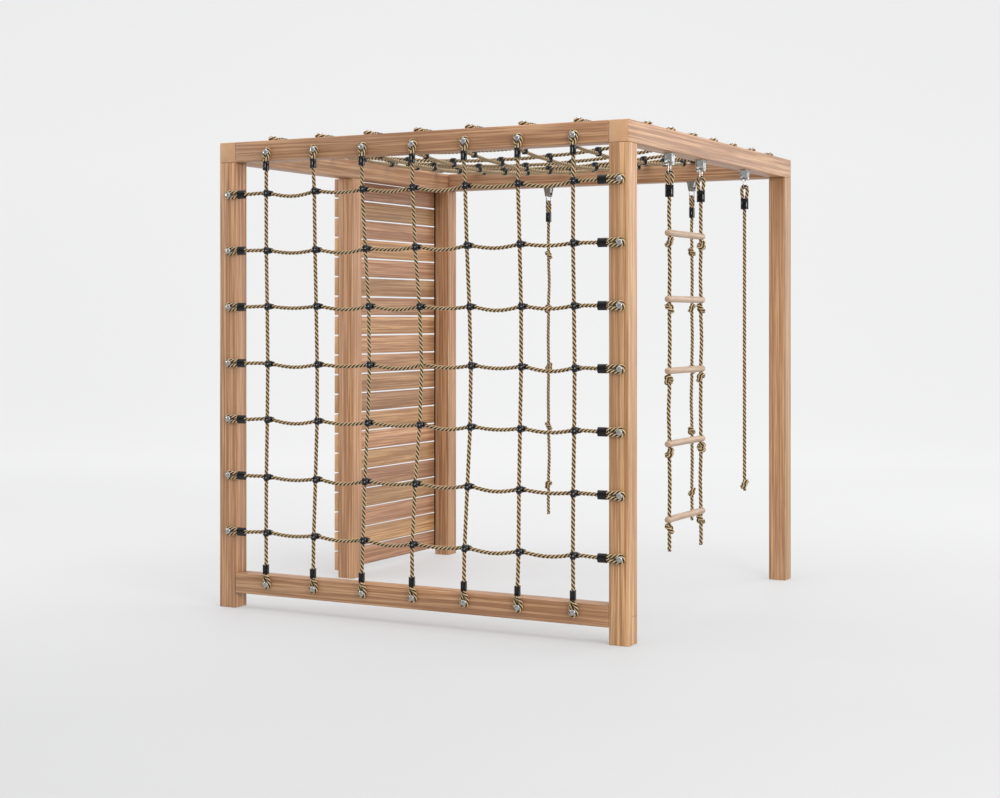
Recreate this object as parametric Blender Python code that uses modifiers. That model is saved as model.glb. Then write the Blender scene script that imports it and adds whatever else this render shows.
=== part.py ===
"""Timber climbing frame, 2 m cube, with rope nets on its front and roof.

The frame is measured from the middle of its timber, with the front at -Y, and everything hangs on
one empty, "climbing_frame", which puts the origin at the middle of the whole object's base. A slatted
panel closes the back half of the left side. A rope ladder and a plain rope hang under the right
beam, and two knotted ropes under the back beam. Metres, +Z up.
"""

import math

import bmesh
import bpy
from mathutils import Matrix, Vector

# Timber
WIDTH = 2.000
DEPTH = 2.000
HEIGHT = 2.080
POST = 0.086
BEAM_HEIGHT = 0.090
SILL_BOTTOM = 0.068
SILL_HEIGHT = 0.088
TIMBER_BEVEL = 0.004
GAP = 0.0003

SLAT_COUNT = 20
SLATS_IN_GROUP = 5
SLAT_THICKNESS = 0.021
SLAT_HEIGHT = 0.090
SLAT_PITCH = 0.098
SLAT_FIRST_Z = 0.036
WEB_THICKNESS = 0.0032

# Rope and its fittings
ROPE_RADIUS = 0.009
ROPE_LIFT = ROPE_RADIUS + GAP
CROSSING_STEP = 2 * ROPE_RADIUS + 0.0006
NET_FERRULE_RADIUS = 0.0160
NET_FERRULE_LENGTH = 0.040
SLEEVE_STEP = 0.0005
EYE_RADIUS = 0.024
EYE_THICKNESS = 0.0174
BOLT_HEAD_RADIUS = 0.013
BOLT_PROUD = 0.021
EYE_SIDES = 8

# Nets
NET_COUNT = 7
NET_PITCH = 0.250
NET_MIDDLE_X = 0.014
NET_HALF_SPAN = 0.954
FRONT_MIDDLE_Z = 1.094
FRONT_HALF_HEIGHT = 0.890
FRONT_BOLT_LOW = 0.119
FRONT_BOLT_HIGH = 2.0265
FRONT_FERRULE_LOW = 0.167
FRONT_FERRULE_HIGH = 1.946
FRONT_BILLOW = 0.072
FRONT_BOW = (2.75, 2.75)
ACROSS_FERRULES_LEFT = (-0.892, -0.852)
ACROSS_FERRULES_RIGHT = (0.912, 0.872)
ACROSS_SAG = 0.012
ROOF_MIDDLE_Y = 0.030
ROOF_SAG = 0.088
ROOF_BOLT_INSET = 0.040
ROOF_EDGE_INSET = 0.096
ROOF_FERRULE_DROP = 0.004

# Hangers, links and the pieces on them
BEAM_MIDDLE = (WIDTH - POST) / 2
PIN_DROP = 0.040
PIN_RADIUS = 0.004
LINK_WIRE = 0.0025
LINK_HALF_WIDTH = 0.013
LINK_TOP = 0.007
LINK_TOP_FIXED = 0.006
LINK_BOTTOM = -0.0475
ROPE_EYE_RADIUS = 0.0123
FERRULE_RADIUS = 0.0188
FERRULE_TOP = -0.0465
FERRULE_LENGTH = 0.050
KNOT_LENGTH = 0.046
ROPE_STEP = 0.048

PIN_Z = HEIGHT - BEAM_HEIGHT - PIN_DROP
LINK_Z = PIN_Z + LINK_BOTTOM

LADDER_Y = (-0.476, -0.114)
LADDER_ENDS = (0.310, 0.295)
RUNG_Z = (1.654, 1.375, 1.072, 0.764, 0.445)
RUNG_RADIUS = 0.014
RUNG_LENGTH = 0.415
RUNG_HOLE = 0.0098
CLIMBING_ROPE_Y = 0.446
CLIMBING_ROPE_END = 0.484
CLIMBING_ROPE_KNOT = (0.515,)
KNOTTED_ROPE_X = {"left": -0.325, "right": 0.490}
KNOTTED_ROPE_END = {"left": 0.252, "right": 0.265}
KNOTTED_ROPE_KNOTS = (1.630, 1.345, 1.035, 0.720, 0.410)

# How far the sleeves of the front net's upright ropes stand off the timber
FRONT_PROUD = 0.0272

ORIGIN_SHIFT = (
    (SLAT_THICKNESS + GAP) / 2,
    FRONT_PROUD / 2,
    0.0,
)


def clear_scene():
    for old in list(bpy.data.objects):
        bpy.data.objects.remove(old, do_unlink=True)


def material(name, colour, roughness, metallic=0.0):
    made = bpy.data.materials.new(name)
    made.use_nodes = True
    shader = made.node_tree.nodes["Principled BSDF"]
    shader.inputs["Base Color"].default_value = (*colour, 1.0)
    shader.inputs["Roughness"].default_value = roughness
    shader.inputs["Metallic"].default_value = metallic
    return made


def collection(name):
    made = bpy.data.collections.new(name)
    bpy.context.scene.collection.children.link(made)
    return made


def empty(name, parent, location, turn=0.0):
    made = bpy.data.objects.new(name, None)
    PARTS.objects.link(made)
    made.parent = parent
    made.location = location
    made.rotation_euler = (0, 0, turn)
    return made


def add_mesh(name, mesh, finish, parent, location=(0, 0, 0)):
    """A node: one mesh object under its parent, with a material of its own."""
    made = bpy.data.objects.new(name, mesh)
    PARTS.objects.link(made)
    made.parent = parent
    made.location = location
    if not mesh.materials:
        mesh.materials.append(finish)
    return made


def box_mesh(name, boxes):
    """One mesh of boxes, each given by its lowest and highest corner."""
    shape = bmesh.new()
    for low, high in boxes:
        low, high = Vector(low), Vector(high)
        size = high - low
        place = Matrix.Translation((low + high) / 2) @ Matrix.Diagonal((*size, 1))
        bmesh.ops.create_cube(shape, size=1.0, matrix=place)
    mesh = bpy.data.meshes.new(name)
    shape.to_mesh(mesh)
    shape.free()
    return mesh


def bevel(target, width):
    edge = target.modifiers.new("Edges", "BEVEL")
    edge.width = width
    edge.segments = 1
    edge.limit_method = "ANGLE"


def cylinder(shape, radius, start, end, sides):
    """A capped cylinder in a bmesh, from one end point to the other."""
    start, end = Vector(start), Vector(end)
    along = end - start
    turn = along.to_track_quat("Z", "Y").to_matrix().to_4x4()
    bmesh.ops.create_cone(
        shape,
        cap_ends=True,
        segments=sides,
        radius1=radius,
        radius2=radius,
        depth=along.length,
        matrix=Matrix.Translation((start + end) / 2) @ turn,
    )


def evaluated_mesh(source, name):
    """The object's mesh with its modifiers or bevel applied and its seams welded."""
    graph = bpy.context.evaluated_depsgraph_get()
    mesh = bpy.data.meshes.new_from_object(source.evaluated_get(graph))
    mesh.name = name
    shape = bmesh.new()
    shape.from_mesh(mesh)
    bmesh.ops.remove_doubles(shape, verts=shape.verts, dist=0.00001)
    shape.to_mesh(mesh)
    shape.free()
    return mesh


def joined(name, mesh, tools, operation="UNION"):
    """The mesh after an exact Boolean with each tool mesh in turn. The helpers are removed."""
    base = bpy.data.objects.new(name + "_base", mesh)
    bpy.context.scene.collection.objects.link(base)
    helpers = [base]
    for tool in tools:
        helper = bpy.data.objects.new(name + "_tool", tool)
        bpy.context.scene.collection.objects.link(helper)
        helpers.append(helper)
        cut = base.modifiers.new(operation.title(), "BOOLEAN")
        cut.operation = operation
        cut.solver = "EXACT"
        cut.object = helper
    result = evaluated_mesh(base, name)
    for helper in helpers:
        bpy.data.objects.remove(helper, do_unlink=True)
    result.materials.clear()
    return result


def tube_curve(name, points, radius, scales=None, sides_step=2, closed=False):
    """A straight-sided spline with a round bevel. scales widens it point by point."""
    curve = bpy.data.curves.new(name, "CURVE")
    curve.dimensions = "3D"
    curve.bevel_depth = radius
    curve.bevel_resolution = sides_step
    curve.use_fill_caps = True
    spline = curve.splines.new("POLY")
    spline.points.add(len(points) - 1)
    spline.use_cyclic_u = closed
    for index, point in enumerate(points):
        spline.points[index].co = (*point, 1.0)
        spline.points[index].radius = scales[index] if scales else 1.0
    return curve


def tube_mesh(name, points, radius, scales=None, sides_step=2, closed=False):
    curve = tube_curve(name, points, radius, scales, sides_step, closed)
    holder = bpy.data.objects.new(name + "_tube", curve)
    bpy.context.scene.collection.objects.link(holder)
    mesh = evaluated_mesh(holder, name)
    bpy.data.objects.remove(holder, do_unlink=True)
    return mesh


# ---------------------------------------------------------------- timber


def timber(name, low, high):
    node = add_mesh(name, box_mesh(name, [(low, high)]), WOOD, ROOT)
    bevel(node, TIMBER_BEVEL)


def build_timber():
    inner = WIDTH / 2 - POST
    front = -DEPTH / 2
    post_top = HEIGHT - BEAM_HEIGHT - GAP
    for side, x_low in (("left", -WIDTH / 2), ("right", inner)):
        for end, y_low in (("front", front), ("back", DEPTH / 2 - POST)):
            low = (x_low, y_low, 0)
            timber(f"post_{end}_{side}", low, (x_low + POST, y_low + POST, post_top))
        low = (x_low, front, HEIGHT - BEAM_HEIGHT)
        timber(f"beam_{side}", low, (x_low + POST, DEPTH / 2, HEIGHT))
    middle = -WIDTH / 2
    timber("post_middle_left", (middle, -POST / 2, 0), (middle + POST, POST / 2, post_top))
    reach = inner - GAP
    for end, y_low in (("front", front), ("back", DEPTH / 2 - POST)):
        low = (-reach, y_low, HEIGHT - BEAM_HEIGHT)
        timber(f"beam_{end}", low, (reach, y_low + POST, HEIGHT))
    low = (-reach, front, SILL_BOTTOM)
    timber("sill_front", low, (reach, front + POST, SILL_BOTTOM + SILL_HEIGHT))


def build_slats():
    """Boards on the outer face of the left side, in groups. Thin webs in the gaps, hidden against
    the two posts, make each group one body."""
    inner_x = -WIDTH / 2 - GAP
    outer_x = inner_x - SLAT_THICKNESS
    web_x = inner_x - 0.0008
    web_margin = 0.010
    web_lines = (
        (-POST / 2 + web_margin, POST / 2 - web_margin),
        (DEPTH / 2 - POST + web_margin, DEPTH / 2 - web_margin),
    )
    for group in range(SLAT_COUNT // SLATS_IN_GROUP):
        name = f"slats_{group + 1}"
        bottoms = []
        for row in range(SLATS_IN_GROUP):
            index = group * SLATS_IN_GROUP + row
            bottoms.append(SLAT_FIRST_Z + index * SLAT_PITCH)
        boards = []
        for z in bottoms:
            boards.append(((outer_x, -POST / 2, z), (inner_x, DEPTH / 2, z + SLAT_HEIGHT)))
        board_mesh = box_mesh(name + "_boards", boards)
        webs = []
        low_z = bottoms[0] + SLAT_HEIGHT / 2
        high_z = bottoms[-1] + SLAT_HEIGHT / 2
        for y_low, y_high in web_lines:
            webs.append(((web_x - WEB_THICKNESS, y_low, low_z), (web_x, y_high, high_z)))
        mesh = joined(name, board_mesh, [box_mesh(name + "_webs", webs)])
        add_mesh(name, mesh, BOARD, ROOT)


# ---------------------------------------------------------------- nets


def eye_mesh(name, centres, outward):
    """Rope eyes seen as discs on their bolts, one at each centre. outward points off the timber."""
    shape = bmesh.new()
    turn = Vector(outward).to_track_quat("Z", "Y").to_matrix().to_4x4()
    for centre in centres:
        place = Matrix.Translation(centre) @ turn
        made = bmesh.ops.create_cone(
            shape,
            cap_ends=True,
            segments=EYE_SIDES,
            radius1=EYE_RADIUS,
            radius2=EYE_RADIUS,
            depth=EYE_THICKNESS,
            matrix=place @ Matrix.Rotation(math.pi / EYE_SIDES, 4, "Z"),
        )
        faces = {face for vert in made["verts"] for face in vert.link_faces}
        direction = Vector(outward)
        top = max(faces, key=lambda face: face.calc_center_median().dot(direction))
        inset = (EYE_RADIUS - BOLT_HEAD_RADIUS) * math.cos(math.pi / EYE_SIDES)
        bmesh.ops.inset_region(shape, faces=[top], thickness=inset)
        head = bmesh.ops.extrude_face_region(shape, geom=[top])
        height = BOLT_PROUD - ROPE_LIFT - EYE_THICKNESS / 2
        raised = [item for item in head["geom"] if isinstance(item, bmesh.types.BMVert)]
        bmesh.ops.translate(shape, verts=raised, vec=direction * height)
        bmesh.ops.delete(shape, geom=[top], context="FACES_ONLY")
    bmesh.ops.recalc_face_normals(shape, faces=shape.faces)
    mesh = bpy.data.meshes.new(name)
    shape.to_mesh(mesh)
    shape.free()
    return mesh


def net_rope(name, points, outward):
    """One rope of a net. It has a sleeve between its second and third points, and the same at its
    far end."""
    wide = NET_FERRULE_RADIUS / ROPE_RADIUS
    starts = (1, len(points) - 3)
    ends = (2, len(points) - 2)
    route, scales = [], []
    for index, point in enumerate(points):
        place = Vector(point)
        route.append(place)
        scales.append(wide if index in ends else 1.0)
        if index in starts + ends:
            step = (Vector(points[index + 1]) - place).normalized() * SLEEVE_STEP
            route.append(place + step)
            scales.append(wide if index in starts else 1.0)
    rope = tube_mesh(name, route, ROPE_RADIUS, scales, 1)
    eyes = eye_mesh(name + "_eyes", (points[0], points[-1]), outward)
    add_mesh(name, joined(name, rope, [eyes]), ROPE, ROOT)


def swell(x, x_middle, y, y_middle, y_half, powers=(1.0, 1.0)):
    """How far a net bows between its edges, from 0 at them to 1 in its middle. Higher powers draw
    the bow together in the middle."""
    across = max(0.0, 1 - ((x - x_middle) / NET_HALF_SPAN) ** 2)
    along = max(0.0, 1 - ((y - y_middle) / y_half) ** 2)
    return across ** powers[0] * along ** powers[1]


def net_lines(middle):
    half = (NET_COUNT - 1) / 2
    return [middle + NET_PITCH * (index - half) for index in range(NET_COUNT)]


def front_depth(x, z):
    """The Y of an upright net rope's middle line. The level ropes pass one step behind it."""
    bow = swell(x, NET_MIDDLE_X, z, FRONT_MIDDLE_Z, FRONT_HALF_HEIGHT, FRONT_BOW)
    return -DEPTH / 2 - ROPE_LIFT + FRONT_BILLOW * bow


def build_front_net():
    columns = net_lines(NET_MIDDLE_X)
    rows = net_lines(FRONT_MIDDLE_Z)
    outward = (0, -1, 0)
    face = -DEPTH / 2 - ROPE_LIFT
    low, high = FRONT_FERRULE_LOW, FRONT_FERRULE_HIGH
    for number, x in enumerate(columns, 1):
        points = [(x, face, FRONT_BOLT_LOW), (x, face - 0.002, low)]
        points.append((x, face - 0.004, low + NET_FERRULE_LENGTH))
        points += [(x, front_depth(x, z), z) for z in rows]
        points += [(x, face - 0.004, high), (x, face - 0.002, high + NET_FERRULE_LENGTH)]
        points.append((x, face, FRONT_BOLT_HIGH))
        net_rope(f"front_rope_up_{number}", points, outward)
    for number, z in enumerate(rows, 1):
        left = NET_MIDDLE_X - NET_HALF_SPAN
        right = NET_MIDDLE_X + NET_HALF_SPAN
        near, far = ACROSS_FERRULES_LEFT
        points = [(left, face, z), (near, face, z), (far, face + 0.003, z)]
        for bay, x in enumerate(columns):
            if bay:
                slack = ACROSS_SAG * (1 + 0.35 * math.sin(1.7 * number + 2.3 * bay))
                middle = x - NET_PITCH / 2
                points.append((middle, front_depth(middle, z) + CROSSING_STEP, z - slack))
            points.append((x, front_depth(x, z) + CROSSING_STEP, z))
        near, far = ACROSS_FERRULES_RIGHT
        points += [(far, face + 0.003, z), (near, face, z), (right, face, z)]
        net_rope(f"front_rope_across_{number}", points, outward)


def roof_drop(x, y):
    return ROOF_SAG * swell(x, NET_MIDDLE_X, y, ROOF_MIDDLE_Y, NET_HALF_SPAN)


def roof_route(places, height_at):
    """(place, height) pairs of a roof rope: bolt, beam edge, sleeve, crossings, and the same back."""
    top = HEIGHT + ROPE_LIFT
    bolt = WIDTH / 2 - ROOF_BOLT_INSET
    edge = WIDTH / 2 - ROOF_EDGE_INSET
    sleeve = edge - NET_FERRULE_LENGTH
    start = [(-bolt, top), (-edge, top), (-sleeve, top - ROOF_FERRULE_DROP)]
    middle = [(place, height_at(place)) for place in places]
    end = [(sleeve, top - ROOF_FERRULE_DROP), (edge, top), (bolt, top)]
    return start + middle + end


def build_roof_net():
    columns = net_lines(NET_MIDDLE_X)
    rows = net_lines(ROOF_MIDDLE_Y)
    top = HEIGHT + ROPE_LIFT
    outward = (0, 0, 1)
    for number, x in enumerate(columns, 1):
        route = roof_route(rows, lambda y, x=x: top - roof_drop(x, y))
        points = [(x, y, z) for y, z in route]
        net_rope(f"roof_rope_along_{number}", points, outward)
    for number, y in enumerate(rows, 1):
        route = roof_route(columns, lambda x, y=y: top - roof_drop(x, y) + CROSSING_STEP)
        points = [(x, y, z) for x, z in route]
        net_rope(f"roof_rope_across_{number}", points, outward)


# ---------------------------------------------------------------- hangers and links


def tapered_box(name, half_x, half_y_top, half_y_bottom, top, bottom):
    """A plate whose width along Y narrows from its top to its bottom. half_x is a pair of X."""
    shape = bmesh.new()
    bmesh.ops.create_cube(shape, size=1.0)
    for vert in shape.verts:
        vert.co.x = half_x[1] if vert.co.x > 0 else half_x[0]
        half_y = half_y_top if vert.co.z > 0 else half_y_bottom
        vert.co.y = half_y if vert.co.y > 0 else -half_y
        vert.co.z = top if vert.co.z > 0 else bottom
    mesh = bpy.data.meshes.new(name)
    shape.to_mesh(mesh)
    shape.free()
    return mesh


def link_points(top):
    """An oval in the YZ plane, from the given height over the pin down to the rope's wire."""
    points = []
    arc_steps = 6
    for step in range(arc_steps + 1):
        angle = math.pi * step / arc_steps
        y = LINK_HALF_WIDTH * math.cos(angle)
        z = top - LINK_HALF_WIDTH + LINK_HALF_WIDTH * math.sin(angle)
        points.append((0, y, z))
    for step in range(arc_steps + 1):
        angle = math.pi + math.pi * step / arc_steps
        y = LINK_HALF_WIDTH * math.cos(angle)
        z = LINK_BOTTOM + LINK_HALF_WIDTH + LINK_HALF_WIDTH * math.sin(angle)
        points.append((0, y, z))
    return points


def hanger_mesh(name, with_link):
    """A bent steel bracket with its bolt. Its origin is the bolt's middle, and the bolt lies along X."""
    under = PIN_DROP - GAP
    cheek_in, cheek_out = 0.0145, 0.0175
    plate = box_mesh(name + "_plate", [((-0.022, -0.026, under - 0.003), (0.022, 0.026, under))])
    tools = []
    for low, high in ((-cheek_out, -cheek_in), (cheek_in, cheek_out)):
        cheek = tapered_box(name + "_cheek", (low, high), 0.0215, 0.0135, under - 0.001, -0.010)
        tools.append(cheek)
    tools.append(tapered_box(name + "_block", (-0.015, 0.015), 0.0165, 0.0145, under - 0.002, 0.0135))
    bolt = bmesh.new()
    cylinder(bolt, PIN_RADIUS, (-0.0170, 0, 0), (0.0170, 0, 0), 10)
    bolt_mesh = bpy.data.meshes.new(name + "_bolt")
    bolt.to_mesh(bolt_mesh)
    bolt.free()
    tools.append(bolt_mesh)
    heads = bmesh.new()
    cylinder(heads, 0.0055, (-0.0190, 0, 0), (-0.0160, 0, 0), 8)
    cylinder(heads, 0.0055, (0.0160, 0, 0), (0.0190, 0, 0), 8)
    head_mesh = bpy.data.meshes.new(name + "_heads")
    heads.to_mesh(head_mesh)
    heads.free()
    tools.append(head_mesh)
    if with_link:
        points = link_points(LINK_TOP_FIXED)
        tools.append(tube_mesh(name + "_link", points, LINK_WIRE, None, 1, True))
    return joined(name, plate, tools)


def build_hangers():
    """The bracket and link of every hanging piece. Returns the empty on each rope's swing axis."""
    swing = {}
    ladder_mesh = hanger_mesh("ladder_hanger", True)
    rope_mesh = hanger_mesh("rope_hanger", False)
    for end, y in zip(("front", "back"), LADDER_Y):
        pin = empty(f"ladder_{end}_pin", ROOT, (BEAM_MIDDLE, y, PIN_Z))
        add_mesh(f"hanger_ladder_{end}", ladder_mesh, STEEL, pin)
    swing["ladder"] = empty("ladder_axis", ROOT, (BEAM_MIDDLE, sum(LADDER_Y) / 2, LINK_Z))
    quarter = math.pi / 2
    places = {
        "climbing_rope": (BEAM_MIDDLE, CLIMBING_ROPE_Y, 0.0),
        "knotted_rope_left": (KNOTTED_ROPE_X["left"], BEAM_MIDDLE, quarter),
        "knotted_rope_right": (KNOTTED_ROPE_X["right"], BEAM_MIDDLE, quarter),
    }
    for name, (x, y, turn) in places.items():
        pin = empty(name + "_pin", ROOT, (x, y, PIN_Z), turn)
        add_mesh("hanger_" + name, rope_mesh, STEEL, pin)
        curve = tube_curve(name + "_link", link_points(LINK_TOP), LINK_WIRE, None, 1, True)
        curve.materials.append(STEEL)
        link = bpy.data.objects.new(name + "_link", curve)
        PARTS.objects.link(link)
        link.parent = pin
        swing[name] = empty(name + "_axis", pin, (0, 0, LINK_BOTTOM))
    return swing


# ---------------------------------------------------------------- hanging pieces


def eye_route():
    """The rope's eye round the link, in the XZ plane: from its tucked end, over the link, and back
    to the middle line inside the sleeve."""
    leg = ROPE_EYE_RADIUS
    neck = ROPE_RADIUS + 0.0004
    sleeve = FERRULE_TOP
    points = [(-neck, 0, sleeve - 0.004), (-neck, 0, sleeve + 0.006), (-leg - 0.0006, 0, sleeve / 2)]
    arc_steps = 6
    for step in range(arc_steps + 1):
        angle = math.pi - math.pi * step / arc_steps
        points.append((leg * math.cos(angle), 0, leg * math.sin(angle)))
    points += [(leg + 0.0006, 0, sleeve / 2), (neck, 0, sleeve + 0.006), (neck, 0, sleeve - 0.008)]
    points += [(neck / 2, 0, sleeve - 0.020), (0, 0, sleeve - 0.032)]
    return points


def hanging_route(end, knots):
    """Points and widths of a rope that hangs from its eye: below the sleeve it is straight, with a
    swelling at each knot. Heights are below the link's wire."""
    points = eye_route()
    scales = [1.0] * len(points)
    z = FERRULE_TOP - FERRULE_LENGTH - 0.004
    shape = ((0.50, 1.0), (0.42, 1.9), (0.20, 2.5), (-0.20, 2.5), (-0.42, 1.9), (-0.50, 1.0))
    stops = [knot - LINK_Z for knot in knots] + [None]
    for knot in stops:
        goal = end - LINK_Z if knot is None else knot + KNOT_LENGTH / 2
        run = z - goal
        steps = max(1, round(run / ROPE_STEP))
        for step in range(steps + (1 if knot is None else 0)):
            points.append((0, 0, z - run * step / steps))
            scales.append(1.0)
        if knot is None:
            break
        for place, width in shape:
            points.append((0, 0, knot + KNOT_LENGTH * place))
            scales.append(width)
        z = knot - KNOT_LENGTH / 2 - 0.004
    return points, scales


def hanging_rope(name, parent, end, knots, offset=(0, 0, 0)):
    points, scales = hanging_route(end, knots)
    rope = tube_mesh(name, points, ROPE_RADIUS, scales)
    sleeve = bmesh.new()
    bottom = FERRULE_TOP - FERRULE_LENGTH
    cylinder(sleeve, FERRULE_RADIUS, (0, 0, bottom), (0, 0, FERRULE_TOP), 12)
    sleeve_mesh = bpy.data.meshes.new(name + "_sleeve")
    sleeve.to_mesh(sleeve_mesh)
    sleeve.free()
    add_mesh(name, joined(name, rope, [sleeve_mesh]), ROPE, parent, offset)


def rung_mesh():
    """A turned rung along Y with a drilled hole for each side rope."""
    shape = bmesh.new()
    cylinder(shape, RUNG_RADIUS, (0, -RUNG_LENGTH / 2, 0), (0, RUNG_LENGTH / 2, 0), 12)
    rims = [edge for edge in shape.edges if abs(edge.verts[0].co.y - edge.verts[1].co.y) < 1e-5]
    bmesh.ops.bevel(shape, geom=rims, offset=0.003, segments=1, affect="EDGES")
    solid = bpy.data.meshes.new("rung_solid")
    shape.to_mesh(solid)
    shape.free()
    drill = bmesh.new()
    half = (LADDER_Y[1] - LADDER_Y[0]) / 2
    for y in (-half, half):
        cylinder(drill, RUNG_HOLE, (0, y, -0.03), (0, y, 0.03), 12)
    drill_mesh = bpy.data.meshes.new("rung_drill")
    drill.to_mesh(drill_mesh)
    drill.free()
    return joined("rung", solid, [drill_mesh], "DIFFERENCE")


def build_hanging(swing):
    half = (LADDER_Y[1] - LADDER_Y[0]) / 2
    below = RUNG_RADIUS + 0.001 + KNOT_LENGTH / 2
    ladder_knots = [z - below for z in RUNG_Z]
    for end, side, bottom in zip(("front", "back"), (-half, half), LADDER_ENDS):
        hanging_rope(f"ladder_rope_{end}", swing["ladder"], bottom, ladder_knots, (0, side, 0))
    rung = rung_mesh()
    for number, z in enumerate(RUNG_Z, 1):
        add_mesh(f"rung_{number}", rung, BIRCH, swing["ladder"], (0, 0, z - LINK_Z))
    hanging_rope(
        "climbing_rope", swing["climbing_rope"], CLIMBING_ROPE_END, CLIMBING_ROPE_KNOT
    )
    for side in ("left", "right"):
        name = f"knotted_rope_{side}"
        hanging_rope(name, swing[name], KNOTTED_ROPE_END[side], KNOTTED_ROPE_KNOTS)


clear_scene()
PARTS = collection("climbing_frame")
WOOD = material("timber", (0.47, 0.25, 0.14), 0.55)
BOARD = material("boards", (0.50, 0.27, 0.15), 0.55)
ROPE = material("rope", (0.48, 0.32, 0.13), 0.80)
STEEL = material("galvanised_steel", (0.62, 0.64, 0.66), 0.30, 1.0)
BIRCH = material("birch", (0.72, 0.48, 0.32), 0.50)
ROOT = empty("climbing_frame", None, ORIGIN_SHIFT)
build_timber()
build_slats()
build_front_net()
build_roof_net()
build_hanging(build_hangers())
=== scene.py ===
"""Looks of the timber climbing frame with rope nets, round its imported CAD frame.

Everything is in metres in the row frame: +Z up, -Y the side with the upright net. Places are worked
out from the frame's posts and beams with at(), which counts from the middle of the timber frame.
"""

import math

import bmesh
import bpy
import numpy as np
from mathutils import Matrix, Vector


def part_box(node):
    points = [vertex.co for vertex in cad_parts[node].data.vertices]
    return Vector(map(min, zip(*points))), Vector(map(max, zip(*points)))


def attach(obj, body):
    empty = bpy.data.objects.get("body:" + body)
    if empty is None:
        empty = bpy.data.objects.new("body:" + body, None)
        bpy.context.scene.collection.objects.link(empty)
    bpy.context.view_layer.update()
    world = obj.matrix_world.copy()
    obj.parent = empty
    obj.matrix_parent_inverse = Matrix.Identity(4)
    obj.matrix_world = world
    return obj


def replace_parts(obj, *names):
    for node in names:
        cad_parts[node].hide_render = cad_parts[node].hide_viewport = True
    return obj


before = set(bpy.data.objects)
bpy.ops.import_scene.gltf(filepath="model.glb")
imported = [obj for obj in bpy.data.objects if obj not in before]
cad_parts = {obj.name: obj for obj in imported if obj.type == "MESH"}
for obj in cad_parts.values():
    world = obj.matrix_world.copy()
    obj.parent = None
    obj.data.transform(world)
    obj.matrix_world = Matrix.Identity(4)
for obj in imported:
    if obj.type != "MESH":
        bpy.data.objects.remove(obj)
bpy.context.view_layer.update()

# ---------------- sizes

POST_LOW, POST_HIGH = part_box("post_front_right")
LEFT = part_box("post_front_left")[0].x
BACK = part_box("post_back_right")[1].y
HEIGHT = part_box("beam_right")[1].z
WIDTH = POST_HIGH.x - LEFT
DEPTH = BACK - POST_LOW.y
POST = POST_HIGH.x - POST_LOW.x
CENTRE_X = (POST_HIGH.x + LEFT) / 2
CENTRE_Y = (BACK + POST_LOW.y) / 2
BEAM_HEIGHT = 0.090
GAP = 0.0003

ROPE_RADIUS = 0.009
ROPE_LIFT = ROPE_RADIUS + GAP
NECK = ROPE_RADIUS + GAP
STACKED_LEGS = (-0.0048, 0.0136)
RADIUS_IN_STRANDS = 2.1547
ROPE_LAY = 0.058
ROPE_RING = 0.0045
CROSSING_STEP = 2 * ROPE_RADIUS + 0.0006
NET_FERRULE = 0.040
NET_FERRULE_HALF = (0.0190, 0.0112)
EYE_RADIUS = 0.0146

NET_COUNT = 7
BARE_CROSSING = (3, 3)
NET_PITCH = 0.250
NET_MIDDLE_X = 0.014
NET_HALF_SPAN = 0.954
FRONT_MIDDLE_Z = 1.094
FRONT_HALF_HEIGHT = 0.890
FRONT_BOLT_LOW = 0.119
FRONT_BOLT_HIGH = 2.0265
FRONT_FERRULE_LOW = 0.167
FRONT_FERRULE_HIGH = 1.946
FRONT_BILLOW = 0.072
FRONT_BOW = (2.75, 2.75)
ACROSS_FERRULE_LEFT = -0.892
ACROSS_FERRULE_RIGHT = 0.912
ACROSS_SAG = 0.012
ROOF_MIDDLE_Y = 0.030
ROOF_SAG = 0.088
ROOF_BOLT_INSET = 0.040
ROOF_EDGE_INSET = 0.096

BEAM_MIDDLE = (WIDTH - POST) / 2
PIN_DROP = 0.040
PIN_Z = HEIGHT - BEAM_HEIGHT - PIN_DROP
LINK_TOP = 0.007
LINK_BOTTOM = -0.0475
LINK_Z = PIN_Z + LINK_BOTTOM
LINK_WIRE = 0.0025
LINK_HALF_WIDTH = 0.013
ROPE_EYE_RADIUS = 0.0123
HANG_FERRULE_TOP = -0.0465
HANG_FERRULE = 0.050
HANG_FERRULE_HALF = (0.0190, 0.0130)

LADDER_Y = (-0.476, -0.114)
LADDER_ENDS = (0.310, 0.295)
RUNG_Z = (1.654, 1.375, 1.072, 0.764, 0.445)
RUNG_RADIUS = 0.014
RUNG_LENGTH = 0.415
RUNG_HOLE_RADIUS = 0.0098
CLIMBING_ROPE_Y = 0.446
CLIMBING_ROPE_END = 0.484
CLIMBING_ROPE_KNOT = CLIMBING_ROPE_END + 0.031
KNOTTED_ROPE_X = {"left": -0.325, "right": 0.490}
KNOTTED_ROPE_END = {"left": 0.252, "right": 0.265}
KNOTTED_ROPE_KNOTS = (1.630, 1.345, 1.035, 0.720, 0.410)
KNOTTED_EYE_TURN = 84

KNOT_SQUASH = 0.73

RING_BEND = 0.060
RING_WANDER = 0.012
RINGS_PER_METRE = 112.0

POSTS = ("front_left", "front_right", "back_left", "back_right", "middle_left")
TIMBER = {
    "z": [f"post_{place}" for place in POSTS],
    "y": ("beam_left", "beam_right"),
    "x": ("beam_front", "beam_back", "sill_front"),
}
GOLDEN = {"post_front_right": 0.85, "post_back_right": 0.7, "beam_front": 0.35, "sill_front": 0.45}
LIGHTER = {"post_middle_left": 0.14, "sill_front": 0.03, "post_front_right": 0.02}
SEAM = 0.0010
SLAT_COUNT = 20
SLATS_IN_GROUP = 5
SLAT_THICKNESS = 0.021
SLAT_HEIGHT = 0.090
SLAT_PITCH = 0.098
SLAT_FIRST_Z = 0.036

VIEW_TURN = math.radians(28.09)


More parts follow.
